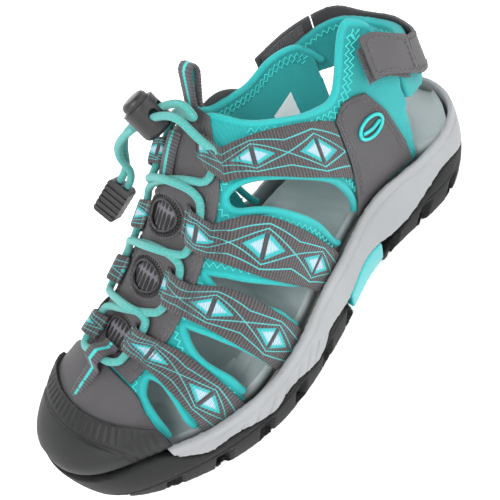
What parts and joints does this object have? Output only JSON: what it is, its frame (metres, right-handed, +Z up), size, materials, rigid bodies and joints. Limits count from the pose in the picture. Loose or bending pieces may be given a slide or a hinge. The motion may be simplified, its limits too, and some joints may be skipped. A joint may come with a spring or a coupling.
{
  "type": "strappy sport sandal",
  "caption": "Closed-toe sport sandal with webbing straps, elastic speed lacing with a sliding cord lock, a padded heel sling with peel tabs, and a moulded sole.",
  "frame": {"origin": "centre of the footprint box, on the floor", "axes": "+X towards the toe, +Y towards the lateral (outer) side of this left sandal, +Z up"},
  "size_m": [0.2716, 0.112, 0.1438],
  "materials": {
    "outsole_rubber": "matte, moulded",
    "toe_rubber": "satin, moulded",
    "midsole_foam": "fine grained foam",
    "shank_plastic": "satin gloss",
    "board_fibre": "pressed fibre",
    "footbed_foam": "embossed foam",
    "coated_leather": "smooth fine grain",
    "neoprene": "knit faced",
    "webbing": "woven with light teal pattern",
    "mesh_black": "open mesh",
    "lace_elastic": "braided",
    "lock_plastic": "satin",
    "spring_steel": "bright",
    "hook_tape": "hook and pile",
    "emblem_plastic": "moulded",
    "label_film": "printed film, left blank",
    "clip_plastic": "satin"
  },
  "bodies": {
    "sandal": {"outsole_heel": "outsole_rubber", "outsole_forefoot": "outsole_rubber", "midsole": "midsole_foam", "arch_shank": "shank_plastic", "lasting_board": "board_fibre", "footbed": "footbed_foam", "toe_cap": "toe_rubber", "vamp_overlay": "coated_leather", "instep_panel": "coated_leather", "vent_mesh_front": "mesh_black", "vent_mesh_middle": "mesh_black", "vent_mesh_rear": "mesh_black", "lateral_lining": "neoprene", "medial_lining": "neoprene", "lateral_quarter_patch": "coated_leather", "medial_quarter_patch": "coated_leather", "lateral_strap_1": "webbing", "lateral_strap_2": "webbing", "lateral_strap_3": "webbing", "lateral_strap_4": "webbing", "medial_strap_1": "webbing", "medial_strap_2": "webbing", "medial_strap_3": "webbing", "medial_strap_4": "webbing", "quarter_emblem": "emblem_plastic", "toe_loop": "webbing", "tongue_webbing": "webbing", "pull_loop": "webbing", "size_label": "label_film", "heel_sling": "neoprene", "heel_strap": "coated_leather", "lateral_pile": "hook_tape", "medial_pile": "hook_tape", "lace_cord": "lace_elastic", "lace_tail_inner": "lace_elastic", "lace_tail_outer": "lace_elastic", "cord_end_front": "clip_plastic", "cord_end_back": "clip_plastic"},
    "lateral_tab": {"lateral_tab": "coated_leather", "lateral_hook": "hook_tape"},
    "medial_tab": {"medial_tab": "coated_leather", "medial_hook": "hook_tape"},
    "cord_lock": {"cord_lock_barrel": "lock_plastic", "cord_lock_spring": "spring_steel"},
    "lock_plunger": {"cord_lock_plunger": "lock_plastic"}
  },
  "joints": [
    {"name": "lock_slide", "type": "slide", "parent": "sandal", "child": "cord_lock", "axis": [0.4197, -0.7995, -0.4297], "range_m": [0, 0.012]},
    {"name": "plunger_press", "type": "slide", "parent": "cord_lock", "child": "lock_plunger", "axis": [-0.1104, 0.4249, -0.8985], "range_m": [0, 0.003], "stiffness_N_per_m": 500, "springref_m": -0.001, "deforming": ["cord_lock_spring"]},
    {"name": "lateral_tab_peel", "type": "hinge", "parent": "sandal", "child": "lateral_tab", "pos_m": [-0.10254, 0.02764, 0.093], "axis": [0.0422, -0.0901, 0.995], "range_deg": [0, 100]},
    {"name": "medial_tab_peel", "type": "hinge", "parent": "sandal", "child": "medial_tab", "pos_m": [-0.10106, -0.03677, 0.093], "axis": [-0.037, -0.0924, -0.995], "range_deg": [0, 100]}
  ]
}
